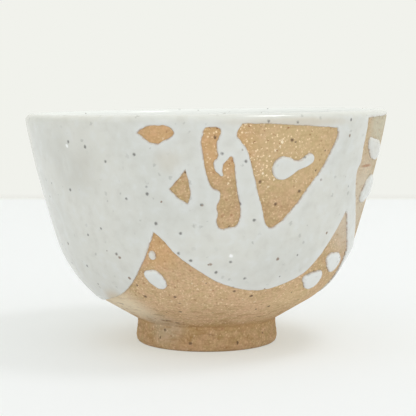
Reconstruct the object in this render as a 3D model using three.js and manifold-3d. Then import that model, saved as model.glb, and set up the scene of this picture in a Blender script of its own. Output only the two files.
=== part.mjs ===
// Tea bowl: a thrown stoneware bowl on a turned foot ring, lined and poured with white glaze.
// Millimetres, +Z up. The origin is the centre of the foot on the table, and the front faces -Y.
import * as THREE from "three";
import { TessellateModifier } from "three/addons/modifiers/TessellateModifier.js";
import { mergeVertices } from "three/addons/utils/BufferGeometryUtils.js";
import Module from "manifold-3d";

// Outside of the clay
const BOWL_HEIGHT = 79.8; // crest of the clay lip
const RIM_RADIUS = 62;
const WALL_BASE_RADIUS = 51.8; // where the wall stands on the hip
const WALL_BASE_HEIGHT = 37;
const WALL_SWELL = 0.6; // how far the wall bows out beyond a straight line from hip to lip
const SWELL_PLACE = 0.62; // share of the wall's length where it bows out most
const HIP_RADIUS = 36.8; // where the sloping underside turns up into the hip
const HIP_HEIGHT = 16;
const HIP_FULLNESS = 7.5; // reach of the hip curve's two handles
const RIM_WAVE = 0.9; // rise and fall of the thrown lip
const RIM_HIGH_SIDE = 115; // degrees round from the front

// Foot ring, turned from the same clay
const FOOT_RADIUS = 24.2; // under the fillet
const FOOT_HEIGHT = 8.4;
const FOOT_FLARE = 0.5; // how much wider the ring is at the table
const FOOT_LAND = 3.4; // flat width that stands on the table
const FOOT_BEVEL = 1; // softened inner arris of the land
const FOOT_EDGE_RISE = 2.2; // rounded outer edge of the land
const FOOT_EDGE_INSET = 1.6;
const FOOT_FILLET = 1.2;
const RECESS_DEPTH = 6;
const RECESS_TAPER = 3; // how far the recess wall leans in on its way up
const NIPPLE_RADIUS = 5.5; // small turned point in the middle of the recess
const NIPPLE_DROP = 1.6;

// Inside of the clay
const LIP_THICKNESS = 3.6;
const WALL_THICKNESS = 4.6; // level with the wall's base
const FLOOR_THICKNESS = 7.5;
const WELL_ROUNDING = 14; // reach of the inside curve's two handles
const TEA_POOL_RADIUS = 16; // shallow pool in the middle of the floor
const TEA_POOL_DEPTH = 1.2;

// Glaze
const GLAZE_THICKNESS = 0.5;
const SPLASH_THICKNESS = 0.8;
const BOND_GAP = 0.1; // between the glaze and the clay, and between two glazes
const CUT_MARGIN = 1; // how far a cutter passes beyond the glaze it cuts

// Facets
const FACETS = 60; // round the bowl
const DOME_FACETS = 16; // round a splash
const CURVE_STEPS = 5; // along the hip, the wall and the lip
const FLAT_STEP = 8; // longest edge of a cutter before it is bent round the bowl

const clay = new THREE.MeshStandardMaterial({ color: 0xb9966a, roughness: 0.9, metalness: 0 });
const glaze = new THREE.MeshStandardMaterial({ color: 0xe4e4dc, roughness: 0.25, metalness: 0 });

const wasm = await Module();
wasm.setup();

function at(radius, height) {
  return new THREE.Vector2(radius, height);
}

function solidFrom(geometry) {
  geometry.deleteAttribute("normal");
  geometry.deleteAttribute("uv");
  const merged = mergeVertices(geometry);
  const vertProperties = merged.attributes.position.array;
  return new wasm.Manifold(new wasm.Mesh({ numProp: 3, vertProperties, triVerts: merged.index.array }));
}

function geometryFrom(solid) {
  const mesh = solid.getMesh();
  const geometry = new THREE.BufferGeometry();
  geometry.setAttribute("position", new THREE.BufferAttribute(mesh.vertProperties, 3));
  geometry.setIndex(new THREE.BufferAttribute(mesh.triVerts, 1));
  return geometry;
}

// A geometry with each vertex sent where the function says.
function reshape(geometry, place) {
  const positions = geometry.attributes.position;
  for (let i = 0; i < positions.count; i += 1) {
    const point = place(new THREE.Vector3().fromBufferAttribute(positions, i));
    positions.setXYZ(i, point.x, point.y, point.z);
  }
  return geometry;
}

// A profile of radius and height turned about the bowl's axis, beginning at the front.
function turned(profile) {
  return new THREE.LatheGeometry(profile, FACETS).rotateX(Math.PI / 2);
}

// The lip of a thrown bowl is never level: each side stands a little taller or lower than the next.
function settle(geometry) {
  return reshape(geometry, (point) => {
    const angle = Math.atan2(point.x, -point.y);
    const rise = RIM_WAVE * Math.cos(angle - THREE.MathUtils.degToRad(RIM_HIGH_SIDE));
    point.z *= 1 + rise / BOWL_HEIGHT;
    return point;
  });
}

// Section of the foot, from the middle of the recess to the foot of the underside
const footBase = FOOT_RADIUS + FOOT_FLARE;
const landOuter = footBase - FOOT_EDGE_INSET;
const landInner = landOuter - FOOT_LAND;
const recessTop = landInner - FOOT_BEVEL - RECESS_TAPER;
const hipStart = at(HIP_RADIUS, HIP_HEIGHT);
const footCorner = at(FOOT_RADIUS, FOOT_HEIGHT);
const undersideSlope = hipStart.clone().sub(footCorner).normalize();
const undersideStart = footCorner.clone().addScaledVector(undersideSlope, FOOT_FILLET);

const footPath = new THREE.Path();
footPath.moveTo(0, RECESS_DEPTH - NIPPLE_DROP);
footPath.quadraticCurveTo(NIPPLE_RADIUS / 2, RECESS_DEPTH - NIPPLE_DROP, NIPPLE_RADIUS, RECESS_DEPTH);
footPath.lineTo(recessTop, RECESS_DEPTH);
footPath.lineTo(landInner - FOOT_BEVEL, FOOT_BEVEL);
footPath.quadraticCurveTo(landInner - FOOT_BEVEL / 2, 0, landInner, 0);
footPath.lineTo(landOuter, 0);
footPath.quadraticCurveTo(footBase, 0, footBase, FOOT_EDGE_RISE);
footPath.lineTo(FOOT_RADIUS, FOOT_HEIGHT - FOOT_FILLET);
footPath.quadraticCurveTo(footCorner.x, footCorner.y, undersideStart.x, undersideStart.y);
const foot = footPath.getPoints(3);

// Section of the bowl above the foot: hip, bowed wall, lip, inside wall, well and tea pool
const lipRadius = LIP_THICKNESS / 2;
const lipCentre = at(RIM_RADIUS - lipRadius, BOWL_HEIGHT - lipRadius);
const wallBase = at(WALL_BASE_RADIUS, WALL_BASE_HEIGHT);
const wallTop = at(RIM_RADIUS, lipCentre.y);
const chord = wallTop.clone().sub(wallBase).normalize();
const wallBow = wallBase.clone().lerp(wallTop, SWELL_PLACE);
wallBow.addScaledVector(at(chord.y, -chord.x), 2 * WALL_SWELL);
const wallSlope = wallBow.clone().sub(wallBase).normalize();
const rimSlope = wallTop.clone().sub(wallBow).normalize();
const hip = new THREE.CubicBezierCurve(
  hipStart,
  hipStart.clone().addScaledVector(undersideSlope, HIP_FULLNESS),
  wallBase.clone().addScaledVector(wallSlope, -HIP_FULLNESS),
  wallBase,
).getPoints(CURVE_STEPS);

const lipStartAngle = -Math.atan2(rimSlope.x, rimSlope.y);
const lipEndAngle = Math.PI - Math.atan2(wallSlope.x, wallSlope.y);
const lip = new THREE.EllipseCurve(
  lipCentre.x,
  lipCentre.y,
  lipRadius,
  lipRadius,
  lipStartAngle,
  lipEndAngle,
).getPoints(CURVE_STEPS);
const wall = new THREE.QuadraticBezierCurve(wallBase, wallBow, lip[0]).getPoints(CURVE_STEPS);

const floorHeight = RECESS_DEPTH + FLOOR_THICKNESS;
const innerWallBase = at(WALL_BASE_RADIUS - WALL_THICKNESS, WALL_BASE_HEIGHT);
const poolEdge = at(TEA_POOL_RADIUS, floorHeight + TEA_POOL_DEPTH);
const well = new THREE.CubicBezierCurve(
  innerWallBase,
  innerWallBase.clone().addScaledVector(wallSlope, -WELL_ROUNDING),
  at(TEA_POOL_RADIUS + WELL_ROUNDING, poolEdge.y + TEA_POOL_DEPTH),
  poolEdge,
).getPoints(CURVE_STEPS + 1);
const teaPool = new THREE.QuadraticBezierCurve(
  poolEdge,
  at(TEA_POOL_RADIUS / 2, floorHeight),
  at(0, floorHeight),
).getPoints(2);
const inside = [...well, ...teaPool.slice(1)];

// The clay's surface from the underside over the lip to the middle of the floor, and the way out of it
const surface = [undersideStart, ...hip, ...wall.slice(1, -1), ...lip, ...inside];
const outward = surface.map((point, i) => {
  const before = surface[Math.max(i - 1, 0)];
  const after = surface[Math.min(i + 1, surface.length - 1)];
  const along = after.clone().sub(before).normalize();
  return point.x === 0 ? at(0, 1) : at(along.y, -along.x);
});
const hipIndex = surface.indexOf(hip[0]);
const lipEndIndex = surface.indexOf(lip.at(-1));
const crestIndex = surface.reduce((top, point, i) => (point.y > surface[top].y ? i : top), 0);

// The stretch of that surface between two of its points, lifted off the clay.
function lifted(first, last, lift) {
  const stretch = surface.slice(first, last + 1);
  return stretch.map((point, i) => point.clone().addScaledVector(outward[first + i], lift));
}

// A point lifted off the outside wall, by degrees round from the front and height on the clay.
function onOutside(angle, height, lift) {
  const above = surface.findIndex((point, i) => i > 0 && (point.y >= height || i === crestIndex));
  const below = above - 1;
  const share = (height - surface[below].y) / (surface[above].y - surface[below].y);
  const direction = outward[below].clone().lerp(outward[above], share).normalize();
  const spot = surface[below].clone().lerp(surface[above], share).addScaledVector(direction, lift);
  const turn = THREE.MathUtils.degToRad(angle);
  return new THREE.Vector3(spot.x * Math.sin(turn), -spot.x * Math.cos(turn), spot.y);
}

// Height of a glaze outline, given in per cent of the way from the underside to the lip.
function coatHeight(percent) {
  return HIP_HEIGHT + ((BOWL_HEIGHT - HIP_HEIGHT) * percent) / 100;
}

// Stoneware: wall, floor and foot ring in one thrown and turned piece
const stoneware = turned([...foot, ...surface.slice(1)]);

// Lining: glaze swilled round the inside, up to where the coat laps over the lip
const liningFar = lifted(lipEndIndex, surface.length - 1, BOND_GAP + GLAZE_THICKNESS);
const liningNear = lifted(lipEndIndex, surface.length - 1, BOND_GAP);
for (const line of [liningFar, liningNear]) {
  line[0].lerp(line[1], BOND_GAP / line[0].distanceTo(line[1]));
}
const lining = turned([...liningNear.reverse(), ...liningFar]);

// Bare patches that the ladle's pours left between them, as [degrees round from the front, per cent of
// the coat's height]. A patch is a loop of smooth runs that meet in corners: each run goes on from the
// last point of the run before it.
const barePatches = {
  frontBay: [
    [[-66, -6]],
    [[-56, 3], [-41, 8], [-33.6, 12.5], [-28, 19], [-21.4, 31], [-17.4, 43.3]],
    [
      [-14.3, 39], [-7.5, 28.6], [0, 21.3], [8, 15.8], [19, 12.4],
      [31, 14.3], [41, 19.8], [48.8, 33.8], [55.4, 50.3],
    ],
    [[57.8, 45.6], [64.7, 32.3], [68.7, 25.5], [76, 12], [84, 2], [89, -6]],
  ],
  bigWindow: [
    [[10.2, 96]],
    [[23.5, 95.2], [41.6, 93]],
    [[42.3, 89.3], [38.4, 75], [33.9, 64.8], [27.5, 51.5], [24, 46.5], [21.5, 45.2]],
    [[19.8, 48], [16.6, 61.5], [13.4, 77.5], [10.1, 88], [8.9, 91.5]],
  ],
  tallWindow: [
    [[0, 94.3], [2, 94.5], [4.2, 92.6], [2.9, 87], [3.2, 80.5], [2.2, 77], [3.3, 73], [4.9, 71.7]],
    [[5.3, 77], [7.4, 80.5], [8.6, 72.3], [10, 60.6], [10.8, 53], [9.8, 47], [7.5, 46], [4.8, 45.7]],
    [[3.7, 48.2], [3.9, 53], [4.5, 61], [3.6, 65], [1, 69.3], [-0.4, 78], [-1.2, 88], [-0.8, 91.5]],
  ],
  leafWindow: [
    [[-17, 95], [-13.5, 95.5], [-10, 94.5], [-9.2, 92], [-11, 89], [-13.8, 87], [-16.5, 88.3], [-19.7, 92.2]],
  ],
  smallWindow: [
    [[-5.2, 68.5], [-4.8, 61.5], [-5.7, 57.7]],
    [[-8.3, 61], [-11.1, 65]],
    [[-8.4, 69.5], [-6, 74]],
  ],
  rightWindow: [
    [[56.9, 97.2]],
    [[57.2, 90], [57.2, 80], [56.5, 70], [58, 63], [61.2, 54.5], [68.6, 41], [80, 28], [88, 25]],
    [[96, 30], [101, 45], [103, 62], [101, 80], [98, 98.7]],
  ],
  backBay: [
    [[103, -6]],
    [[106, 4], [112, 20], [117, 36]],
    [[124, 27], [136, 17], [152, 10], [168, 6.5], [180, 3], [188, -6]],
  ],
  backHem: [[[-166, -6]], [[-158, 4], [-146, 8], [-132, 7], [-118, 4], [-106, -6]]],
  backLeafWindow: [[[156, 95], [166, 95.5], [172, 92], [168, 85], [160, 76], [154, 78], [150, 90]]],
  backSlotWindow: [[[-140, 95], [-131, 92], [-133, 78], [-139, 62], [-144, 55], [-148, 66], [-152, 93]]],
};

// A cutter for one bare patch: its flat outline, thickened and bent round the outside wall.
function patchCutter(runs) {
  const outline = new THREE.Shape();
  outline.moveTo(...runs.at(-1).at(-1));
  for (const run of runs) {
    outline.splineThru(run.map(([angle, percent]) => at(angle, percent)));
  }
  const flat = new THREE.ExtrudeGeometry(outline, { depth: 1, bevelEnabled: false, curveSegments: 2 });
  const fine = new TessellateModifier(FLAT_STEP, Infinity).modify(flat);
  const reach = BOND_GAP + GLAZE_THICKNESS + CUT_MARGIN;
  return reshape(fine, (point) => {
    const lift = THREE.MathUtils.lerp(-CUT_MARGIN, reach, point.z);
    return onOutside(point.x, coatHeight(point.y), lift);
  });
}

// Coat: glaze poured over the outside and the lip, with the bare patches cut out of it
const coatFar = lifted(hipIndex, lipEndIndex, BOND_GAP + GLAZE_THICKNESS);
const coatNear = lifted(hipIndex, lipEndIndex, BOND_GAP);
let coatSolid = solidFrom(turned([...coatFar, ...coatNear.reverse(), coatFar[0]]));
for (const runs of Object.values(barePatches)) {
  coatSolid = coatSolid.subtract(solidFrom(patchCutter(runs)));
}
const coat = geometryFrom(coatSolid);

// Splashes: drops of glaze that fell on the bare clay, each outlined anticlockwise in the same measures
const splashOutlines = {
  splash_front_comma: [
    [20.2, 74], [21.5, 69.8], [24.3, 68.7], [27, 71.5], [29.2, 74], [32.5, 75.8],
    [34.1, 78.5], [32.6, 81.6], [29.3, 78.6], [27.3, 78.6], [24, 80.3], [21, 78.5],
  ],
  splash_right_upper: [[60.8, 86.6], [63.4, 79.4], [68.6, 75.7], [74.3, 77.2], [73.5, 82.8], [65, 86.8]],
  splash_right_lower: [
    [64.7, 55.6], [68, 53], [72.8, 54.5], [79.4, 59], [73.5, 67.5], [67.9, 65], [65.4, 60.5],
  ],
  splash_hip_right: [[51.5, 27], [53.4, 22.5], [56.8, 19], [62.7, 17.5], [64.6, 22], [61, 27], [56.6, 28.5]],
  splash_hip_front: [
    [42.1, 16.4], [44.3, 13.5], [47, 10.6], [53.2, 9.8], [54.3, 14.8], [52.4, 19.4], [47.5, 19.2],
  ],
  splash_left_small: [
    [-20.2, 31.7], [-19.7, 29.9], [-18.5, 29.3], [-17.5, 31.3], [-18.2, 33.7], [-19.5, 33.5],
  ],
  splash_left_large: [
    [-23.6, 22], [-22.9, 18.3], [-20.7, 15], [-18, 13.4],
    [-15.6, 14.8], [-15.3, 16.9], [-16.5, 21], [-19.5, 24],
  ],
  splash_back_upper: [[-144, 80], [-142, 76], [-139.5, 75], [-137.5, 79], [-138.5, 84], [-142, 85]],
  splash_back_right: [[115.5, 22], [117, 18.5], [119.5, 18], [121.5, 21], [120, 25.5], [117, 26]],
  splash_back_low: [[139, 6], [141, 3.5], [145, 3], [147, 5.5], [144, 8.5], [141, 8.5]],
};

// Section of a drop, from the middle of its flat underside to its crown, as shares of reach and thickness
const dropSection = [at(0, 0), at(0.5, 0), at(1, 0), at(0.86, 0.6), at(0.5, 0.92), at(0, 1)];

// A turned drop, drawn out to the splash's own edge and laid on the wall.
function splash(outline) {
  const points = outline.map(([angle, percent]) => new THREE.Vector3(angle, percent, 0));
  const edge = new THREE.CatmullRomCurve3(points, true);
  const total = points.reduce((sum, point) => sum.add(point), new THREE.Vector3());
  const middle = total.divideScalar(points.length);
  return reshape(new THREE.LatheGeometry(dropSection, DOME_FACETS), (point) => {
    const turn = THREE.MathUtils.euclideanModulo(Math.atan2(point.x, point.z) / (2 * Math.PI), 1);
    const flat = middle.clone().lerp(edge.getPoint(turn), Math.hypot(point.x, point.z));
    return onOutside(flat.x, coatHeight(flat.y), BOND_GAP + SPLASH_THICKNESS * point.y);
  });
}

const teaBowl = new THREE.Group();

function addPiece(name, geometry, material) {
  const mesh = new THREE.Mesh(settle(geometry), material);
  mesh.name = name;
  teaBowl.add(mesh);
}

addPiece("stoneware_body", stoneware, clay);
addPiece("glaze_lining", lining, glaze);
addPiece("glaze_coat", coat, glaze);
for (const [name, outline] of Object.entries(splashOutlines)) {
  addPiece(name, splash(outline), glaze);
}

export default teaBowl;
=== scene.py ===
# Tea bowl: thrown stoneware on a turned foot, lined with white glaze and poured with it outside.
# Metres, +Z up, in the frame of the CAD part. The front of the bowl faces -Y.
import bisect
import math

import bmesh
import bpy
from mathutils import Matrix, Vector, kdtree, noise
from mathutils.geometry import interpolate_bezier


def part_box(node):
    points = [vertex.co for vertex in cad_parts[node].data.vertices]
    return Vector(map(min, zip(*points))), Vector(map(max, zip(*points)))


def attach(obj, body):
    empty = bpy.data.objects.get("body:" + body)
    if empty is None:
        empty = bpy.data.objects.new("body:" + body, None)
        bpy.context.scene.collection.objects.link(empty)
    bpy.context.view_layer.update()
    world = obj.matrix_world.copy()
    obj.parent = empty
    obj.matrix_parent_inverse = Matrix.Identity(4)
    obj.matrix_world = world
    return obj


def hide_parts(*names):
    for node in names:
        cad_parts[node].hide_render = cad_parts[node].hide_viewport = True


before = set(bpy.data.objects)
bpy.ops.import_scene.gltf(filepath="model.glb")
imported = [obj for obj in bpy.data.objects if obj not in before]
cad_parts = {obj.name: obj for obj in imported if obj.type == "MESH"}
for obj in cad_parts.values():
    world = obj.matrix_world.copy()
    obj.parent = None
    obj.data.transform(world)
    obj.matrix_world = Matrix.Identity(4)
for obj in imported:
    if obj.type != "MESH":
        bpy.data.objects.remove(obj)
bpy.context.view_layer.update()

# Stoneware body
# Gritty buff stoneware, thrown on the wheel in one piece. Its foot ring is turned from the same clay,
# which leaves drag marks round the underside, and the clay stays bare wherever no glaze was poured.
MM = 0.001
ROUND_STEPS = 240
LIP_STEPS = 18
_, clay_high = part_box("stoneware_body")
rim_wave = 0.9 * MM
rim_high_side = math.radians(115)
rim_radius = clay_high.x
bowl_height = clay_high.z - rim_wave
lip_radius = 1.8 * MM
wall_swell = 0.6 * MM
hip_fullness = 7.5 * MM
well_rounding = 14 * MM
turning_ridge = 0.05 * MM
turning_pitch = 1.7 * MM


def spot(radius, height):
    """A point of the bowl's section, given in millimetres."""
    return Vector((radius, 0, height)) * MM


def stretch(start, end, steps, leave=None, arrive=None):
    """Points from start up to end, along a curve with these two handles or along a straight line."""
    leave = leave or start.lerp(end, 1 / 3)
    arrive = arrive or start.lerp(end, 2 / 3)
    return interpolate_bezier(start, leave, arrive, end, steps + 1)[:-1]


nipple_tip = spot(0, 4.4)
nipple_edge = spot(5.5, 6)
recess_top = spot(15.7, 6)
recess_base = spot(18.7, 1)
land_inner = spot(19.7, 0)
land_outer = spot(23.1, 0)
foot_base = spot(24.7, 2.2)
foot_waist = spot(24.2, 7.2)
foot_corner = spot(24.2, 8.4)
hip_start = spot(36.8, 16)
underside_slope = (hip_start - foot_corner).normalized()
underside_start = foot_corner + underside_slope * 1.2 * MM
wall_base = spot(51.8, 37)
wall_top = Vector((rim_radius, 0, bowl_height - lip_radius))
lip_centre = wall_top - Vector((lip_radius, 0, 0))
chord = (wall_top - wall_base).normalized()
wall_bow = wall_base.lerp(wall_top, 0.62) + Vector((chord.z, 0, -chord.x)) * 2 * wall_swell
wall_slope = (wall_bow - wall_base).normalized()
rim_slope = (wall_top - wall_bow).normalized()
inner_wall_base = spot(47.2, 37)
pool_edge = spot(16, 14.7)
floor_middle = spot(0, 13.5)


def lip_point(share):
    """A point of the rounded lip, from its outside at 0 to its inside at 1."""
    first = -math.atan2(rim_slope.x, rim_slope.z)
    last = math.pi - math.atan2(wall_slope.x, wall_slope.z)
    angle = first + share * (last - first)
    return lip_centre + lip_radius * Vector((math.cos(angle), 0, math.sin(angle)))


foot_section = [
    *stretch(nipple_tip, nipple_edge, 8, spot(2, 4.4), spot(3.5, 6)),
    *stretch(nipple_edge, recess_top, 8),
    *stretch(recess_top, recess_base, 8),
    *stretch(recess_base, land_inner, 4, spot(18.9, 0.4), spot(19.2, 0)),
    *stretch(land_inner, land_outer, 6),
    *stretch(land_outer, foot_base, 7, spot(24.2, 0), spot(24.7, 0.7)),
    *stretch(foot_base, foot_waist, 12, spot(24.7, 3.5), spot(24.2, 5)),
    *stretch(foot_waist, underside_start, 6, foot_corner, foot_corner),
]
wall_section = [
    *stretch(underside_start, hip_start, 20),
    *stretch(
        hip_start,
        wall_base,
        30,
        hip_start + underside_slope * hip_fullness,
        wall_base - wall_slope * hip_fullness,
    ),
    *stretch(
        wall_base,
        lip_point(0),
        36,
        wall_base.lerp(wall_bow, 2 / 3),
        lip_point(0).lerp(wall_bow, 2 / 3),
    ),
    *[lip_point(step / LIP_STEPS) for step in range(LIP_STEPS)],
]
inside_section = [
    *stretch(lip_point(1), inner_wall_base, 30),
    *stretch(
        inner_wall_base,
        pool_edge,
        26,
        inner_wall_base - wall_slope * well_rounding,
        pool_edge + Vector((well_rounding, 0, 1.2 * MM)),
    ),
    *stretch(pool_edge, floor_middle, 8, spot(11, 13.9), spot(6, 13.5)),
    floor_middle,
]


def settle(place):
    """Where a point of the bowl lies once the lip has settled a little out of level."""
    angle = math.atan2(place.x, -place.y)
    rise = rim_wave * math.cos(angle - rim_high_side)
    return Vector((place.x, place.y, place.z * (1 + rise / bowl_height)))


def turned(section):
    """A mesh of a section spun about the bowl's axis, closed along its seam and at its poles."""
    turning = bmesh.new()
    points = [turning.verts.new(place) for place in section]
    lines = [turning.edges.new(pair) for pair in zip(points, points[1:])]
    bmesh.ops.spin(
        turning,
        geom=points + lines,
        cent=(0, 0, 0),
        axis=(0, 0, 1),
        angle=math.tau,
        steps=ROUND_STEPS,
        use_merge=True,
    )
    bmesh.ops.remove_doubles(turning, verts=turning.verts, dist=0.001 * MM)
    bmesh.ops.recalc_face_normals(turning, faces=turning.faces)
    return turning


def place_piece(made, name, material, slot, *nodes):
    """Puts a finished mesh on the bowl as a smooth piece that stands for these CAD nodes."""
    for face in made.faces:
        face.smooth = True
    mesh = bpy.data.meshes.new(name)
    made.to_mesh(mesh)
    made.free()
    mesh.materials.append(material)
    piece = bpy.data.objects.new(name, mesh)
    bpy.context.scene.collection.objects.link(piece)
    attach(piece, "root")
    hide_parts(*nodes)


def tint(red, green, blue):
    """A colour as it is seen, in steps of 255, in Blender's own scale."""
    shares = [value / 255 for value in (red, green, blue)]
    return [share / 12.92 if share < 0.04 else ((share + 0.055) / 1.055) ** 2.4 for share in shares] + [1]


def add_node(tree, kind, sockets, **settings):
    """A new shader node with these settings, and with each socket given a value or joined to an output."""
    made = tree.nodes.new("ShaderNode" + kind)
    for name, value in settings.items():
        setattr(made, name, value)
    for name, value in sockets.items():
        if isinstance(value, bpy.types.NodeSocket):
            tree.links.new(value, made.inputs[name])
        else:
            made.inputs[name].default_value = value
    return made


def sum_of(tree, operation, first, second):
    """The result of one sum on two values."""
    return add_node(tree, "Math", {0: first, 1: second}, operation=operation).outputs[0]


def blended(tree, share, under, over, mode="MIX"):
    """One colour laid over another by a share."""
    sockets = {0: share, 6: under, 7: over}
    return add_node(tree, "Mix", sockets, data_type="RGBA", blend_type=mode).outputs[2]


def faded(tree, value, start, end, low=0.0, high=1.0):
    """A value eased from low to high as it goes from start to end."""
    sockets = {"Value": value, 1: start, 2: end, 3: low, 4: high}
    return add_node(tree, "MapRange", sockets, interpolation_type="SMOOTHSTEP").outputs[0]


def grains_group():
    """Grains scattered through a body: a mask of uneven spots, and a random value for each grain."""
    group = bpy.data.node_groups.new("scattered_grains", "ShaderNodeTree")
    for name, kind in (("Vector", "Vector"), ("Density", "Float"), ("Size", "Float"), ("Ragged", "Float")):
        group.interface.new_socket(name, in_out="INPUT", socket_type="NodeSocket" + kind)
    for name in ("Mask", "Random"):
        group.interface.new_socket(name, in_out="OUTPUT", socket_type="NodeSocketFloat")
    given = group.nodes.new("NodeGroupInput").outputs
    scaled = add_node(group, "VectorMath", {0: given["Vector"], "Scale": given["Density"]}, operation="SCALE")
    ragged = add_node(group, "TexNoise", {"Vector": scaled.outputs[0], "Scale": 4.0, "Detail": 1.0})
    sockets = {0: ragged.outputs["Color"], 1: (0.5, 0.5, 0.5)}
    centred = add_node(group, "VectorMath", sockets, operation="SUBTRACT")
    push = add_node(group, "VectorMath", {0: centred.outputs[0], "Scale": given["Ragged"]}, operation="SCALE")
    bent = add_node(group, "VectorMath", {0: scaled.outputs[0], 1: push.outputs[0]}, operation="ADD")
    cells = add_node(group, "TexVoronoi", {"Vector": bent.outputs[0], "Scale": 1.0})
    chance = add_node(group, "SeparateColor", {"Color": cells.outputs["Color"]})
    reach = sum_of(group, "MULTIPLY", faded(group, chance.outputs[0], 0.0, 1.0, 0.55, 1.0), given["Size"])
    core = sum_of(group, "MULTIPLY", reach, 0.45)
    mask = faded(group, cells.outputs["Distance"], core, reach, 1.0, 0.0)
    ends = group.nodes.new("NodeGroupOutput")
    group.links.new(mask, ends.inputs["Mask"])
    group.links.new(chance.outputs[1], ends.inputs["Random"])
    return group


scattered_grains = grains_group()


def grains(tree, vector, spacing, size, ragged=0.2):
    """The mask and the random value of one scatter of grains, by their spacing and their radius."""
    made = add_node(tree, "Group", {}, node_tree=scattered_grains)
    tree.links.new(vector, made.inputs["Vector"])
    made.inputs["Density"].default_value = 1 / spacing
    made.inputs["Size"].default_value = size / spacing
    made.inputs["Ragged"].default_value = ragged
    return made.outputs["Mask"], made.outputs["Random"]


def cloud(tree, vector, size, detail=3.0):
    """Soft cloudy noise with features of about this size."""
    sockets = {"Vector": vector, "Scale": 1 / size, "Detail": detail}
    return add_node(tree, "TexNoise", sockets).outputs["Fac"]


def near_spot(tree, place, angle, radius, height, reach):
    """A soft mask round one spot of the bowl, by degrees from the front, radius and height in millimetres."""
    turn = math.radians(angle)
    middle = Vector((radius * math.sin(turn), -radius * math.cos(turn), height)) * MM
    away = add_node(tree, "VectorMath", {0: place, 1: middle}, operation="DISTANCE").outputs["Value"]
    return faded(tree, away, 0.3 * reach * MM, reach * MM, 1.0, 0.0)


def specks_at(tree, place, spots, reach):
    """A mask of ragged specks on the outside, at degrees from the front and heights in millimetres."""
    sockets = {"Vector": place, "Scale": 1 / (0.9 * MM), "Detail": 1.0}
    ragged = add_node(tree, "TexNoise", sockets).outputs["Color"]
    push = (0.5 * MM, 0.5 * MM, 0.5 * MM)
    bent = add_node(tree, "VectorMath", {0: ragged, 1: push, 2: place}, operation="MULTIPLY_ADD").outputs[0]
    mask = None
    for angle, height in spots:
        level_point = min(foot_section + wall_section, key=lambda point: abs(point.z - height * MM))
        speck = near_spot(tree, bent, angle, level_point.x / MM, height, reach)
        mask = sum_of(tree, "MAXIMUM", mask, speck) if mask else speck
    return mask


def strongest_spot(tree, place, spots):
    """The strongest of some soft masks, each with its share and its spot of the bowl."""
    mask = None
    for share, *where in spots:
        soft = sum_of(tree, "MULTIPLY", near_spot(tree, place, *where), share)
        mask = sum_of(tree, "MAXIMUM", mask, soft) if mask else soft
    return mask


def patched(tree, place, colour, patches):
    """A colour with soft patches of other colours on it, each with the spots of the bowl where it lies."""
    for patch_colour, spots in patches:
        colour = blended(tree, strongest_spot(tree, place, spots), colour, patch_colour)
    return colour


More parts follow.
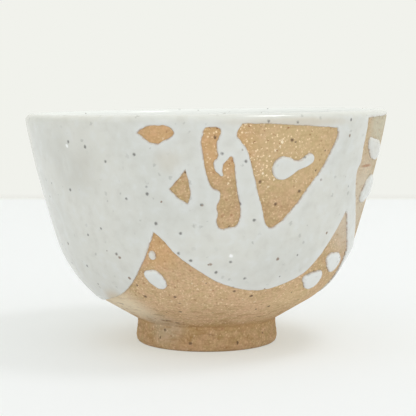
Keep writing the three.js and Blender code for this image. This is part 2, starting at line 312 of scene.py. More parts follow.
def bare_clay():
    """Buff clay with pale grit, iron spots, turning marks and the warmer blush of the fired wall, and painted
    sheen near the right edge.
    """
    material = bpy.data.materials.new("bare_stoneware")
    material.use_nodes = True
    tree = material.node_tree
    finish = tree.nodes["Principled BSDF"]
    place = add_node(tree, "TexCoord", {}).outputs["Object"]
    height = add_node(tree, "SeparateXYZ", {"Vector": place}).outputs["Z"]

    tone = add_node(tree, "ValToRGB", {"Fac": faded(tree, height, 0.0, bowl_height)})
    tone.color_ramp.elements[0].color = tint(190, 156, 113)
    tone.color_ramp.elements[1].color = tint(194, 164, 119)
    tone.color_ramp.elements.new(0.01).color = tint(172, 138, 88)
    tone.color_ramp.elements.new(0.03).color = tint(203, 172, 127)
    tone.color_ramp.elements.new(0.06).color = tint(218, 188, 146)
    tone.color_ramp.elements.new(0.2).color = tint(209, 179, 136)
    tone.color_ramp.elements.new(0.5).color = tint(185, 154, 113)
    broad = faded(tree, cloud(tree, place, 11 * MM), 0.35, 0.65, 0.0, 0.5)
    colour = blended(tree, broad, tone.outputs[0], tint(188, 166, 116))
    small = faded(tree, cloud(tree, place, 2.5 * MM), 0.35, 0.7, 0.0, 0.6)
    colour = blended(tree, small, colour, tint(214, 176, 140))
    grit = cloud(tree, place, 0.75 * MM, 2.0)
    colour = blended(tree, faded(tree, grit, 0.5, 0.28, 0.0, 0.3), colour, tint(150, 114, 76))
    colour = blended(tree, faded(tree, grit, 0.5, 0.72, 0.0, 0.3), colour, tint(238, 210, 168))

    # Straw, blush and wash patches, and a pale painted sheen on the clay towards the right edge.
    colour = patched(tree, place, colour, clay_patches_and_sheen)
    # An ochre-brown band darkens the clay round the corner where the foot meets the underside.
    foot_corner_band = faded(tree, height, 6 * MM, 8.5 * MM)
    foot_corner_band = sum_of(tree, "MULTIPLY", foot_corner_band, faded(tree, height, 11 * MM, 8.5 * MM))
    colour = blended(tree, sum_of(tree, "MULTIPLY", foot_corner_band, 0.45), colour, tint(178, 138, 76))
    colour = patched(tree, place, colour, ash_patches)

    level = add_node(tree, "Mapping", {"Vector": place, "Scale": (0.2, 0.2, 1.0)}).outputs[0]
    turned_share = faded(tree, height, 24 * MM, 12 * MM)
    streak = faded(tree, cloud(tree, level, 0.9 * MM), 0.48, 0.7)
    streak = sum_of(tree, "MULTIPLY", streak, faded(tree, height, 24 * MM, 12 * MM, 0.4, 1.0))
    colour = blended(tree, sum_of(tree, "MULTIPLY", streak, 0.5), colour, tint(168, 130, 84))
    dash, dash_random = grains(tree, level, 2.4 * MM, 0.6 * MM, 0.3)
    dash = sum_of(tree, "MULTIPLY", dash, faded(tree, dash_random, 0.5, 0.8))
    dash = sum_of(tree, "MULTIPLY", dash, turned_share)
    colour = blended(tree, sum_of(tree, "MULTIPLY", dash, 0.75), colour, tint(128, 100, 68))
    long_level = add_node(tree, "Mapping", {"Vector": place, "Scale": (0.1, 0.1, 1.0)}).outputs[0]
    drag = near_spot(tree, long_level, 64, 5.86, 62.6, 0.7)
    colour = blended(tree, sum_of(tree, "MULTIPLY", drag, 0.6), colour, tint(164, 104, 66))

    crowd = faded(tree, cloud(tree, place, 12 * MM), 0.35, 0.6, 0.2, 0.65)
    rich = near_spot(tree, place, 15, 61, 73, 24)
    crowd = sum_of(tree, "ADD", crowd, sum_of(tree, "MULTIPLY", rich, 1.1))
    crowd = sum_of(tree, "ADD", crowd, faded(tree, height, 36 * MM, 24 * MM, 0.0, 0.4))
    crowd = sum_of(tree, "MULTIPLY", crowd, faded(tree, height, 4 * MM, 12 * MM, 0.5, 1.0))
    fine, fine_random = grains(tree, place, 0.85 * MM, 0.44 * MM, 0.6)
    fine = sum_of(tree, "MULTIPLY", fine, faded(tree, fine_random, 0.15, 0.8))
    fine = sum_of(tree, "MULTIPLY", fine, crowd)
    colour = blended(tree, sum_of(tree, "MULTIPLY", fine, 0.75), colour, tint(244, 221, 180))
    coarse, coarse_random = grains(tree, place, 1.8 * MM, 0.6 * MM, 0.7)
    coarse = sum_of(tree, "MULTIPLY", coarse, faded(tree, coarse_random, 0.4, 0.9))
    coarse = sum_of(tree, "MULTIPLY", coarse, crowd)
    colour = blended(tree, sum_of(tree, "MULTIPLY", coarse, 0.75), colour, tint(250, 233, 198))
    brown, brown_random = grains(tree, place, 1.4 * MM, 0.55 * MM, 0.5)
    brown = sum_of(tree, "MULTIPLY", brown, faded(tree, brown_random, 0.4, 1.0))
    brown = sum_of(tree, "MULTIPLY", brown, faded(tree, rich, 0.0, 1.0, 0.6, 1.0))
    colour = blended(tree, brown, colour, tint(158, 108, 66))
    iron, iron_random = grains(tree, place, 3.6 * MM, 0.75 * MM, 0.3)
    iron = sum_of(tree, "MULTIPLY", iron, faded(tree, iron_random, 0.6, 0.8))
    iron = sum_of(tree, "MAXIMUM", iron, specks_at(tree, place, clay_specks, 0.85))
    colour = blended(tree, sum_of(tree, "MULTIPLY", iron, 0.85), colour, tint(96, 72, 52))

    tree.links.new(colour, finish.inputs["Base Color"])
    finish.inputs["Roughness"].default_value = 0.85
    finish.inputs["Specular IOR Level"].default_value = 0.3

    relief = sum_of(tree, "ADD", cloud(tree, place, 0.5 * MM), sum_of(tree, "MULTIPLY", coarse, 0.5))
    dug = sum_of(tree, "ADD", dash, sum_of(tree, "MULTIPLY", streak, 0.4))
    relief = sum_of(tree, "SUBTRACT", relief, dug)
    bump = add_node(tree, "Bump", {"Height": relief, "Strength": 0.6, "Distance": 0.2 * MM})
    tree.links.new(bump.outputs[0], finish.inputs["Normal"])
    return material


clay_specks = [
    (17, 59.4), (31, 56.1), (26, 72.2), (23, 52.3), (12, 23.7), (20, 21.9), (33, 17), (-13, 21.6),
    (-27, 21.2), (-13, 15.7), (-35, 7), (-12, 3.3), (53, 4.5),
]
# Soft patches: colour, then share, degrees from the front, radius, height and reach in millimetres
clay_patches_and_sheen = [
    (tint(214, 190, 142), [(0.45, 28, 61, 70, 24), (0.45, 45, 38, 18, 14)]),
    (tint(220, 170, 116), [(0.4, 4, 60, 71, 15), (0.4, -17, 53, 38, 11), (0.4, -13, 60, 74, 9)]),
    # Partly a thin glaze wash near the lip, partly painted sheen spreading towards the right edge.
    (tint(202, 199, 176), [(0.35, 80, 62, 68, 48), (0.8, 70, 62, 77, 18)]),
    # Painted sheen: a pale patch on the clay towards the right edge.
    (tint(216, 206, 184), [(0.65, 63, 56, 49, 23)]),
]
ash_patches = [
    (tint(240, 225, 193), [(0.9, -48, 36, 17, 16)]),
    (tint(206, 192, 166), [(0.5, -34, 26, 10, 11)]),
]
clay_material = bare_clay()
body = turned(foot_section + wall_section + inside_section)
for point in body.verts:
    low_share = max(0, 1 - point.co.z / hip_start.z)
    ridge = 1 + turning_ridge / foot_base.x * low_share * math.sin(point.co.z / turning_pitch * math.tau)
    point.co.xy *= ridge
    point.co = settle(point.co)
place_piece(body, "stoneware_body_fired", clay_material, "stoneware", "stoneware_body")

# Glaze lining
# White glaze swilled round the inside and poured out again, so it lies thin and even over the wall and
# the tea pool. It runs up under the coat that was poured over the lip afterwards.
lining_thickness = 0.35 * MM
embedded = 0.2 * MM  # how far a glaze is let into the clay it is fused to


def ways_out(line):
    """The way out of the clay at each point of a section line."""
    ways = []
    for index in range(len(line)):
        along = line[min(index + 1, len(line) - 1)] - line[max(index - 1, 0)]
        ways.append(Vector((along.z, 0, -along.x)).normalized())
    return ways


def white_glaze(name, milk, cream, ladled=None):
    """Satin white glaze with iron specks that show through it, and with what a ladled coat adds to it."""
    material = bpy.data.materials.new(name)
    material.use_nodes = True
    tree = material.node_tree
    finish = tree.nodes["Principled BSDF"]
    place = add_node(tree, "TexCoord", {}).outputs["Object"]

    colour = blended(tree, faded(tree, cloud(tree, place, 24 * MM), 0.35, 0.65), milk, cream)
    if ladled:
        colour = ladled(tree, place, colour)
    drowned, drowned_random = grains(tree, place, 3.4 * MM, 0.9 * MM, 0.4)
    drowned = sum_of(tree, "MULTIPLY", drowned, faded(tree, drowned_random, 0.3, 1.0))
    colour = blended(tree, sum_of(tree, "MULTIPLY", drowned, 0.5), colour, tint(170, 170, 160))
    iron, iron_random = grains(tree, place, 4.6 * MM, 0.8 * MM, 0.12)
    iron = sum_of(tree, "MULTIPLY", iron, faded(tree, iron_random, 0.55, 0.75))
    if ladled:
        iron = sum_of(tree, "MAXIMUM", iron, specks_at(tree, place, coat_specks, 0.8))
    rust = blended(tree, faded(tree, iron_random, 0.85, 0.95), tint(80, 76, 72), tint(120, 84, 48))
    colour = blended(tree, sum_of(tree, "MULTIPLY", iron, 0.75), colour, rust)
    # Painted glints: small white highlights painted at two listed spots of the coat.
    if ladled:
        painted_glints = specks_at(tree, place, coat_glint_spots, 0.9)
        colour = blended(tree, sum_of(tree, "MULTIPLY", painted_glints, 0.9), colour, tint(250, 250, 246))

    tree.links.new(colour, finish.inputs["Base Color"])
    finish.inputs["Roughness"].default_value = 0.18
    ripple = sum_of(tree, "ADD", cloud(tree, place, 7 * MM, 2.0), sum_of(tree, "MULTIPLY", drowned, 0.15))
    bump = add_node(tree, "Bump", {"Height": ripple, "Strength": 0.3, "Distance": 0.4 * MM})
    tree.links.new(bump.outputs[0], finish.inputs["Normal"])
    return material


# The lining is the same glaze as the coat but is given a much paler colour: painted light for the bright
# glare inside the bowl.
pale_lit_lining_glaze = white_glaze("white_lining_glaze", tint(238, 239, 235), tint(241, 241, 237))
lining_outs = ways_out(inside_section)
lining_outs[-1] = Vector((0, 0, 1))
lining_face = [point + out * lining_thickness for point, out in zip(inside_section, lining_outs)]
lining_back = [point - out * embedded for point, out in zip(inside_section, lining_outs)]
lining = turned(lining_back[::-1] + lining_face)
for point in lining.verts:
    point.co = settle(point.co)
place_piece(lining, "glaze_lining_fired", pale_lit_lining_glaze, "white_glaze", "glaze_lining")

# Glaze coat
# White glaze ladled over the outside and the lip in overlapping pours. It ran down in swags, left
# windows of bare clay between the pours, and stopped in a soft rounded edge short of the foot.
CORNER = True
roll_reach = 4 * MM
roll_share = 0.2
thin_reach = 0.5 * MM
sway_size = 1.6 * MM
swell_size = 11 * MM
swell_share = 0.12
coat_specks = [
    (-45, 71.3), (-38, 69.9), (-31, 65.6), (-21, 67.9), (-18, 58), (-18, 55.7), (-49, 55.7), (-1, 52.5),
    (-45, 41.3), (-61, 37.1), (-33, 35.8), (-32, 34.7), (-52, 30.3), (-16, 46.4), (-8, 43.4), (-9, 37.1),
    (-5, 34.7), (2, 33.5), (9, 34.3), (4, 30.8), (5, 68.4), (12, 66), (11, 52.7), (31, 66.6), (53, 56.8),
    (27, 77.8), (18, 78), (16, 47.5), (15, 28.6),
]
# Spots of the coat where small white highlights are painted
coat_glint_spots = [(9, 36.2), (-46, 70)]
thin_spots = [
    (0.9, -45, 39, 19, 8), (0.2, -11, 58, 66, 6), (0.28, -18.9, 51.5, 36, 4), (0.15, 67, 60, 67.5, 8),
]


def ladled_colour(tree, place, colour):
    """What ladling does to a glaze's colour: pale where it pooled or rolled up, with a painted highlight over
    the lip, and brown where it is thin.
    """
    mottle = cloud(tree, place, 3.5 * MM, 5.0)
    colour = blended(tree, faded(tree, mottle, 0.5, 0.3, 0.0, 0.3), colour, tint(198, 196, 184))
    colour = blended(tree, faded(tree, mottle, 0.5, 0.7, 0.0, 0.3), colour, tint(226, 229, 225))
    pooled = add_node(tree, "Attribute", {}, attribute_name="pooling_and_lip_highlight").outputs["Fac"]
    # Pale over the lip and the inner lap: partly glaze pooled there, partly a painted highlight along the
    # lip.
    colour = blended(tree, faded(tree, pooled, 0.1, 0.6), colour, tint(238, 241, 236))
    rolled = add_node(tree, "Attribute", {}, attribute_name="rolling").outputs["Fac"]
    colour = blended(tree, sum_of(tree, "MULTIPLY", rolled, 0.35), colour, tint(228, 230, 225))
    level = add_node(tree, "Mapping", {"Vector": place, "Scale": (0.08, 0.08, 1.0)}).outputs[0]
    sheer = sum_of(tree, "MULTIPLY", near_spot(tree, level, 26, 4.9, 77.4, 2.2), 0.4)
    sheer = sum_of(tree, "MAXIMUM", sheer, strongest_spot(tree, place, thin_spots))
    colour = blended(tree, sheer, colour, tint(200, 182, 148))
    uneven = faded(tree, cloud(tree, place, 7 * MM), 0.35, 0.6, 0.05, 0.35)
    shade = sum_of(tree, "MULTIPLY", near_spot(tree, place, -45, 57, 66, 17), uneven)
    colour = blended(tree, shade, colour, tint(186, 182, 166))
    thin = add_node(tree, "Attribute", {}, attribute_name="thinness").outputs["Fac"]
    broken = faded(tree, cloud(tree, place, 1.5 * MM), 0.4, 0.62, 0.1, 0.6)
    flash = sum_of(tree, "MULTIPLY", thin, sum_of(tree, "MULTIPLY", broken, faded(tree, pooled, 0.6, 0.3)))
    return blended(tree, flash, colour, tint(156, 112, 74))


poured_glaze = white_glaze("white_poured_glaze", tint(212, 213, 203), tint(217, 217, 206), ladled_colour)
FLAT_RADIUS = 60 * MM  # the outlines are drawn flat, as on a drum of this radius
coat_thickness = 0.48 * MM
coat_edge = 0.6 * MM
lap_inside = 4.5 * MM
coat_sway = 0.2 * MM
cuts_round = 180
cuts_up = 40
lowest_cut = 6
cuts_over_lip = 16
lap_points = 12
pour_line = wall_section + inside_section[:lap_points]
pour_outs = ways_out(pour_line)
pour_runs = [0.0]
for before, after in zip(pour_line, pour_line[1:]):
    pour_runs.append(pour_runs[-1] + (after - before).length)
crest = max(range(len(pour_line)), key=lambda index: pour_line[index].z)
outside_heights = [point.z for point in pour_line[: crest + 1]]
lip_run = pour_runs[len(wall_section) - LIP_STEPS]
lip_end_run = pour_runs[len(wall_section)]
lap_run = pour_runs[crest] + lap_inside


def run_at(height):
    """How far along the pour line a height on the outside lies."""
    above = min(max(bisect.bisect_right(outside_heights, height), 1), crest)
    below = above - 1
    share = (height - outside_heights[below]) / (outside_heights[above] - outside_heights[below])
    return pour_runs[below] + share * (pour_runs[above] - pour_runs[below])


def laid_on_bowl(flat):
    """A point of a flat outline, at its lift off the drum, laid on the bowl's wall."""
    above = min(max(bisect.bisect_right(pour_runs, flat.y), 1), len(pour_runs) - 1)
    below = above - 1
    share = (flat.y - pour_runs[below]) / (pour_runs[above] - pour_runs[below])
    out = pour_outs[below].lerp(pour_outs[above], share).normalized()
    lifted = pour_line[below].lerp(pour_line[above], share) + out * flat.z
    angle = flat.x / FLAT_RADIUS
    return settle(Vector((lifted.x * math.sin(angle), -lifted.x * math.cos(angle), lifted.z)))


def flat_outline(loop):
    """A loop of degrees round from the front and heights in millimetres, drawn flat with its corners."""
    points = []
    for angle, height, *corner in loop:
        points.append((math.radians(angle) * FLAT_RADIUS, run_at(height * MM), bool(corner)))
    return points


def glaze_sheet(name, loops, edge, thickness):
    """A flat sheet of glaze with rounded edges, filled between closed loops of points and corners."""
    outline = bpy.data.curves.new(name, "CURVE")
    outline.dimensions = "2D"
    outline.fill_mode = "BOTH"
    outline.bevel_depth = edge
    outline.bevel_resolution = 3
    outline.offset = -edge
    for loop in loops:
        spline = outline.splines.new("BEZIER")
        spline.use_cyclic_u = True
        spline.resolution_u = 6
        spline.bezier_points.add(len(loop) - 1)
        for knot, (across, up, corner) in zip(spline.bezier_points, loop):
            knot.co = (across, up, 0)
            knot.handle_left_type = "VECTOR" if corner else "AUTO"
            knot.handle_right_type = "VECTOR" if corner else "AUTO"
    drawn = bpy.data.objects.new(name, outline)
    bpy.context.scene.collection.objects.link(drawn)
    filled = bpy.data.meshes.new_from_object(drawn.evaluated_get(bpy.context.evaluated_depsgraph_get()))
    bpy.data.objects.remove(drawn)
    sheet = bmesh.new()
    sheet.from_mesh(filled)
    bmesh.ops.remove_doubles(sheet, verts=sheet.verts, dist=0.002 * MM)
    bmesh.ops.dissolve_limit(sheet, angle_limit=0.0005, verts=sheet.verts, edges=sheet.edges)
    for point in sheet.verts:
        point.co.z *= (thickness if point.co.z > 0 else embedded) / edge
    return sheet


def lay_sheet(sheet, wobble, pooled):
    """Lays a flat sheet of glaze on the bowl, and notes where it is thin, rolled up or pooled, the last also
    painting the lip pale as a highlight.
    """
    thinness = sheet.verts.layers.float.new("thinness")
    rolling = sheet.verts.layers.float.new("rolling")
    pooling_and_lip_highlight = sheet.verts.layers.float.new("pooling_and_lip_highlight")
    edge_points = [point.co.xy.to_3d() for point in sheet.verts if abs(point.co.z) < 0.01 * MM]
    edge_finder = kdtree.KDTree(len(edge_points))
    for index, place in enumerate(edge_points):
        edge_finder.insert(place, index)
    edge_finder.balance()
    for point in sheet.verts:
        _, _, from_edge = edge_finder.find(point.co.xy.to_3d())
        point[thinness] = max(0, 1 - from_edge / thin_reach)
        point[rolling] = max(0, 1 - from_edge / roll_reach)
        # This share rises across the lip, where it also stands for a painted highlight.
        point[pooling_and_lip_highlight] = max(pooled, (point.co.y - lip_run) / (lap_run - lip_run))
        on_bowl = laid_on_bowl(point.co.xy.to_3d())
        sway = noise.noise_vector(on_bowl / sway_size) * wobble
        swell = 1 + swell_share * noise.noise(on_bowl / swell_size) + roll_share * point[rolling]
        point.co = laid_on_bowl(Vector((point.co.x + sway.x, point.co.y + sway.y, point.co.z * swell)))


def cut_across(sheet, places, way):
    """Cuts a flat sheet along a row of straight lines, so that it can bend."""
    for place in places:
        everything = sheet.verts[:] + sheet.edges[:] + sheet.faces[:]
        bmesh.ops.bisect_plane(sheet, geom=everything, dist=0.01 * MM, plane_co=way * place, plane_no=way)


def between_seam_ends(point):
    """Whether a point lies inside a straight stretch of an open seam, where the other side may have none."""
    beside = [line.other_vert(point) for line in point.link_edges if line.is_boundary]
    return len(beside) == 2 and all(abs(other.co.z - point.co.z) < 0.001 * MM for other in beside)


lower_edge = [
    (-180, 17.9), (-174, 16.4), (-166, 16.4), (-158, 18.5), (-146, 21), (-132, 20.5), (-118, 18.5),
    (-108, 16.6), (-95, 16.3), (-80, 16.4), (-66, 16.8), (-56, 18), (-48, 19.4), (-40.8, 21), (-33.6, 24),
    (-28.2, 27.8), (-24.7, 31.4), (-21.5, 35.5), (-19, 40.4), (-17.4, 43.6, CORNER),
    (-14.3, 40.9), (-10.9, 37), (-7.4, 34.2), (-3.8, 31.9), (0, 29.6), (4, 27.5), (8.3, 26),
    (13.2, 24.8), (19, 23.9), (25.4, 24.1), (31.1, 25.1), (36.3, 26.6), (40.8, 28.6), (45.7, 33.5),
    (48.8, 37.5), (51.9, 41.7), (53.8, 45), (55.4, 48, CORNER),
    (57.8, 45.1), (61.1, 40.4), (64.7, 36.5), (68, 33.4), (70.5, 28.7), (76, 23.6), (84, 17.8), (90, 16.4),
    (100, 16.4), (105, 18.2), (112, 28.7), (117, 38.9, CORNER),
    (124, 33.1), (136, 26.8), (152, 22.4), (168, 20.1),
]
windows = [
    [
        (10.3, 77.3, CORNER), (15.5, 77.2), (23.6, 76.7), (32.5, 76), (41.7, 75.3, CORNER),
        (42.3, 73), (40.8, 68.9), (38.5, 63.9), (36.9, 61.3), (34, 57.4), (30.8, 52.9), (27.5, 48.8),
        (25, 46.3), (23.5, 45.3), (21.6, 44.7), (20, 45.9), (18.4, 50.4), (16.5, 55.4), (14.7, 61.2),
        (13.4, 65.4), (11.7, 69.8), (10, 72.2), (8.9, 74.1),
    ],
    [
        (0, 76.2), (1.9, 76.3), (3.3, 76.2), (4.3, 75), (3.6, 73), (3.1, 71.4), (3.2, 69), (3.4, 67.1),
        (2.4, 66), (2.5, 63.9), (3.5, 62.2), (4.9, 61.3), (5, 63.2), (5.3, 64.9), (6.5, 66.4),
        (7.4, 67.3), (8.2, 65.8), (8.7, 61.9), (9.4, 57.6), (10.1, 54.5), (10.9, 51.4), (10.8, 47.8),
        (9.8, 45.8), (7.5, 45.2), (4.8, 45), (3.7, 46.6), (3.9, 49.7), (3.5, 51.9), (4.3, 53.9),
        (4.5, 55.9), (3.6, 57.2), (2.3, 57.8), (1, 60), (0.2, 62.6), (-0.4, 65.4), (-0.7, 68.8),
        (-1.2, 71.8), (-0.8, 73.9),
    ],
    [
        (-19.7, 74.8, CORNER), (-18, 76.2), (-16.2, 76.9), (-13.5, 77), (-11.1, 76.9), (-9.7, 76.1),
        (-9.1, 74.7), (-10.1, 73.5), (-12.1, 72.4), (-13.8, 71.6), (-15.9, 72), (-17.5, 73.2),
    ],
    [
        (-6, 63.3, CORNER), (-5.2, 59.7), (-4.8, 55.2), (-5.7, 52.8, CORNER), (-8.3, 54.7),
        (-11.1, 57.5, CORNER), (-8.4, 60.3),
    ],
    [
        (57, 77.9, CORNER), (57.2, 73.5), (57.1, 69.2), (57.6, 64), (56.4, 60.6), (57.9, 56.2),
        (61.2, 50.7), (68.6, 42), (72.8, 38), (80, 33.8), (88, 31.9), (96, 35), (101, 44.6),
        (103, 55.4), (101, 66.8), (98, 79.0, CORNER),
    ],
    [(150, 73.2), (156, 76.3), (166, 76.6), (172, 74.4), (168, 70), (160, 64.3), (154, 65.5)],
    [(-152, 75), (-140, 76.3), (-131, 74.4), (-133, 65.5), (-139, 55.4), (-144, 50.9), (-148, 57.9)],
]

half_turn = math.pi * FLAT_RADIUS
one_turn = flat_outline(lower_edge)
before_turn = [(across - 2 * half_turn, up, corner) for across, up, corner in one_turn[-3:]]
after_turn = [(across + 2 * half_turn, up, corner) for across, up, corner in one_turn[:4]]
hem = before_turn + one_turn + after_turn
coat_edge_loop = hem + [(hem[-1][0], lap_run, CORNER), (hem[0][0], lap_run, CORNER)]
coat_edge_loop[0] = (*hem[0][:2], CORNER)
coat_edge_loop[len(hem) - 1] = (*hem[-1][:2], CORNER)
coat_loops = [coat_edge_loop] + [flat_outline(loop) for loop in windows]
coat = glaze_sheet("poured_coat", coat_loops, coat_edge, coat_thickness)

ACROSS = Vector((1, 0, 0))
UP = Vector((0, 1, 0))
for side in (-1, 1):
    everything = coat.verts[:] + coat.edges[:] + coat.faces[:]
    bmesh.ops.bisect_plane(
        coat,
        geom=everything,
        dist=0.001 * MM,
        plane_co=ACROSS * side * half_turn,
        plane_no=ACROSS * side,
        clear_outer=True,
    )
cut_across(coat, [point.co.y for point in coat.verts if between_seam_ends(point)], UP)
cut_across(coat, [half_turn * (2 * step / cuts_round - 1) for step in range(1, cuts_round)], ACROSS)
cut_across(coat, [lip_run * step / cuts_up for step in range(lowest_cut, cuts_up)], UP)
lip_length = lip_end_run - lip_run
cut_across(coat, [lip_run + lip_length * step / cuts_over_lip for step in range(cuts_over_lip + 1)], UP)
lay_sheet(coat, coat_sway, 0.0)
bmesh.ops.remove_doubles(coat, verts=coat.verts, dist=0.01 * MM)
place_piece(coat, "glaze_coat_fired", poured_glaze, "white_glaze", "glaze_coat")

# Splashes
# Drops of the same glaze that fell on the bare clay while the bowl was being poured. Each one drew
# itself up into a low dome before it dried.
splash_thickness = 0.75 * MM
splash_pooling = 0.32
splash_sway = 0.12 * MM
splash_cut = 1.5 * MM
splashes = {
    "splash_front_comma": (0.9, [
        (20.2, 64), (20.8, 65.8), (22.9, 67), (25.1, 66.8), (27.4, 65.9), (29.3, 65.9), (31, 67.1),
        (32.3, 67.8), (33.9, 67), (34, 65.2), (32.4, 63.8), (29.2, 62.6), (27.1, 61.2), (25.5, 60.2),
        (23.3, 59.7), (21.4, 60.5), (20.2, 62.4),
    ]),
    "splash_right_upper": (1.6, [
        (60.8, 71), (64.9, 71.1), (73.5, 68.6), (74.3, 65), (68.6, 64.1), (63.4, 66.4),
    ]),
    "splash_right_lower": (1.6, [
        (73.5, 58.9), (79.4, 53.4), (72.8, 50.7), (68, 49.7), (64.7, 51.3), (65.4, 54.4), (67.9, 57.2),
    ]),
    "splash_hip_right": (1.6, [
        (51.5, 33.2), (56.6, 34.1), (60.9, 33.2), (64.6, 30.1), (62.7, 27.1), (56.8, 28.2), (53.4, 30.3),
    ]),
    "splash_hip_front": (1.6, [
        (41.8, 26.5), (44.4, 28.1), (48, 28.5), (52.1, 28.3), (54.3, 26), (53.7, 23.2), (50.6, 22.1),
        (46.6, 22.8), (43.7, 24.7),
    ]),
    "splash_left_small": (0.7, [
        (-19.7, 37.3), (-18.3, 37.4), (-17.5, 35.9), (-18.5, 34.6), (-19.7, 35), (-20.2, 36.1),
    ]),
    "splash_left_large": (1.7, [
        (-23.6, 30.1), (-20.8, 31.1), (-18.5, 30.9), (-16.5, 29.3), (-15.3, 26.8), (-15.6, 25.4), (-18, 24.5),
        (-20.7, 25.5), (-22.9, 27.6),
    ]),
    "splash_back_upper": (1.6, [
        (-144, 66.8), (-142, 70), (-138.5, 69.3), (-137.5, 66.2), (-139.5, 63.6), (-142, 64.3),
    ]),
    "splash_back_right": (1.6, [
        (115.5, 30), (117, 32.5), (120, 32.2), (121.5, 29.3), (119.5, 27.4), (117, 27.7),
    ]),
    "splash_back_low": (1.2, [(139, 19.8), (141, 21.4), (144, 21.4), (147, 19.5), (145, 17.9), (141, 18.2)]),
}


def rows_between(low, high):
    """Places for cuts across a splash, a step apart between its two ends."""
    return [low + splash_cut * count for count in range(1, int((high - low) / splash_cut))]


for name, (edge, loop) in splashes.items():
    drop = glaze_sheet(name + "_outline", [flat_outline(loop)], edge * MM, splash_thickness)
    across = [point.co.x for point in drop.verts]
    up = [point.co.y for point in drop.verts]
    cut_across(drop, rows_between(min(across), max(across)), ACROSS)
    cut_across(drop, rows_between(min(up), max(up)), UP)
    lay_sheet(drop, splash_sway, splash_pooling if min(up) < run_at(wall_base.z) else 0.0)
    place_piece(drop, name + "_fired", poured_glaze, "white_glaze", name)

# Table and wall
# A pale table top that meets a pale wall behind the bowl, both of matt paper.
table_colour = tint(244, 247, 255)
table_glow = tint(243, 244, 232)
wall_colour = tint(241, 242, 236)
# Painted shade for the corner where the table meets the wall
seam_shade_colour = tint(237, 237, 231)
wall_distance = 0.634
seam_reach = 0.035
table_reach = 1.6
clear_margin = 0.8 * MM


def stage_sheet(name, material, corners):
    """A flat sheet of the stage between four corners."""
    made = bmesh.new()
    made.faces.new([made.verts.new(corner) for corner in corners])
    mesh = bpy.data.meshes.new(name)
    made.to_mesh(mesh)
    made.free()
    mesh.materials.append(material)
    sheet = bpy.data.objects.new(name, mesh)
    bpy.context.scene.collection.objects.link(sheet)


def seen_directly(tree):
    """1 for what the camera sees straight on, in a reflection or through glass, and 0 for other light."""
    path = add_node(tree, "LightPath", {}).outputs
    mirrored = sum_of(tree, "MAXIMUM", path["Is Glossy Ray"], path["Is Transmission Ray"])
    return sum_of(tree, "MAXIMUM", path["Is Camera Ray"], mirrored)


def table_top():
    """White paper that keeps a soft shadow of the bowl. It is clear from below, and under the foot."""
    material = bpy.data.materials.new("table_paper")
    material.use_nodes = True
    tree = material.node_tree
    finish = tree.nodes["Principled BSDF"]
    place = add_node(tree, "TexCoord", {}).outputs["Object"]
    depth = add_node(tree, "SeparateXYZ", {"Vector": place}).outputs["Y"]
    # Painted shade: the paper darkens towards the corner where it meets the wall.
    seam = faded(tree, depth, wall_distance - seam_reach, wall_distance)
    tree.links.new(blended(tree, seam, table_colour, seam_shade_colour), finish.inputs["Base Color"])
    finish.inputs["Roughness"].default_value = 0.9
    finish.inputs["Specular IOR Level"].default_value = 0.1
    glow = add_node(tree, "Emission", {"Color": blended(tree, seam, table_glow, seam_shade_colour)})
    share = sum_of(tree, "MULTIPLY", seen_directly(tree), 0.47)
    softened = add_node(tree, "MixShader", {0: share, 1: finish.outputs[0], 2: glow.outputs[0]})
    below = add_node(tree, "NewGeometry", {}).outputs["Backfacing"]
    from_middle = add_node(tree, "VectorMath", {0: place}, operation="LENGTH").outputs["Value"]
    under_foot = faded(tree, from_middle, land_outer.x, land_outer.x - clear_margin)
    open_share = sum_of(tree, "MAXIMUM", below, under_foot)
    clear = add_node(tree, "BsdfTransparent", {})
    mixed = add_node(tree, "MixShader", {0: open_share, 1: softened.outputs[0], 2: clear.outputs[0]})
    tree.links.new(mixed.outputs[0], tree.nodes["Material Output"].inputs["Surface"])
    return material


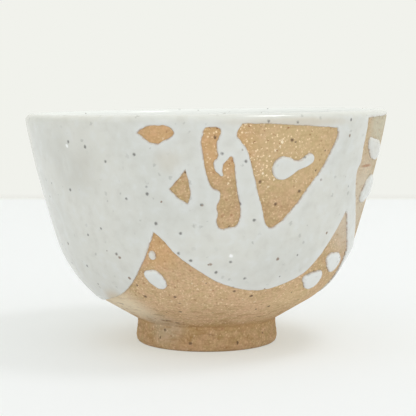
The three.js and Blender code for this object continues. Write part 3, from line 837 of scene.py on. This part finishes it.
def back_wall():
    """A wall that is seen at its own colour, with a faint line of painted shade where it meets the table."""
    material = bpy.data.materials.new("wall_paper")
    material.use_nodes = True
    tree = material.node_tree
    finish = tree.nodes["Principled BSDF"]
    finish.inputs["Base Color"].default_value = wall_colour
    finish.inputs["Roughness"].default_value = 0.9
    place = add_node(tree, "TexCoord", {}).outputs["Object"]
    height = add_node(tree, "SeparateXYZ", {"Vector": place}).outputs["Z"]
    # Painted shade along the foot of the wall, at its corner with the table.
    shade = blended(tree, faded(tree, height, 0.0, 4 * MM), seam_shade_colour, wall_colour)
    glow = add_node(tree, "Emission", {"Color": shade})
    mixed = add_node(tree, "MixShader", {0: seen_directly(tree), 1: finish.outputs[0], 2: glow.outputs[0]})
    tree.links.new(mixed.outputs[0], tree.nodes["Material Output"].inputs["Surface"])
    return material


stage_sheet("table", table_top(), [
    (-table_reach, -table_reach, 0),
    (table_reach, -table_reach, 0),
    (table_reach, wall_distance, 0),
    (-table_reach, wall_distance, 0),
])
stage_sheet("wall", back_wall(), [
    (-table_reach, wall_distance, 0),
    (table_reach, wall_distance, 0),
    (table_reach, wall_distance, table_reach),
    (-table_reach, wall_distance, table_reach),
])

# Light and camera
# Soft daylight that comes mostly from the front, a lamp high on the right, and the camera of the photograph.
scene = bpy.context.scene
scene.view_settings.view_transform = "Standard"
world = bpy.data.worlds.new("daylight")
world.use_nodes = True
scene.world = world
sky = world.node_tree.nodes["Background"]
sky_tree = world.node_tree
way_in = add_node(sky_tree, "TexCoord", {}).outputs["Generated"]
way_right, way_back, _ = add_node(sky_tree, "SeparateXYZ", {"Vector": way_in}).outputs
daylight = faded(sky_tree, way_back, -0.9, 0.6, 1.05, 0.62)
daylight = sum_of(sky_tree, "ADD", daylight, sum_of(sky_tree, "MULTIPLY", way_right, 0.04))
daylight = sum_of(sky_tree, "ADD", daylight, faded(sky_tree, way_right, -0.2, -1.0, 0.0, 0.11))
sky_tree.links.new(daylight, sky.inputs["Strength"])
sky.inputs["Color"].default_value = (1.0, 1.0, 1.0, 1)

lamp = bpy.data.lights.new("overhead_lamp", "AREA")
lamp.shape = "DISK"
lamp.size = 0.3
lamp.energy = 2.2
lamp_holder = bpy.data.objects.new("overhead_lamp", lamp)
lamp_holder.location = (0.4, -0.06, 1.05)
lamp_holder.rotation_euler = (-lamp_holder.location).to_track_quat("-Z", "Y").to_euler()
scene.collection.objects.link(lamp_holder)

camera = bpy.data.cameras.new("photo_camera")
camera.sensor_width = 36
camera.lens = 109.5
camera_holder = bpy.data.objects.new("photo_camera", camera)
camera_holder.location = (0.0024, -0.4416, 0.0849)
camera_holder.rotation_euler = (math.radians(90 - 4.99), 0, math.radians(0.25))
scene.collection.objects.link(camera_holder)
scene.camera = camera_holder
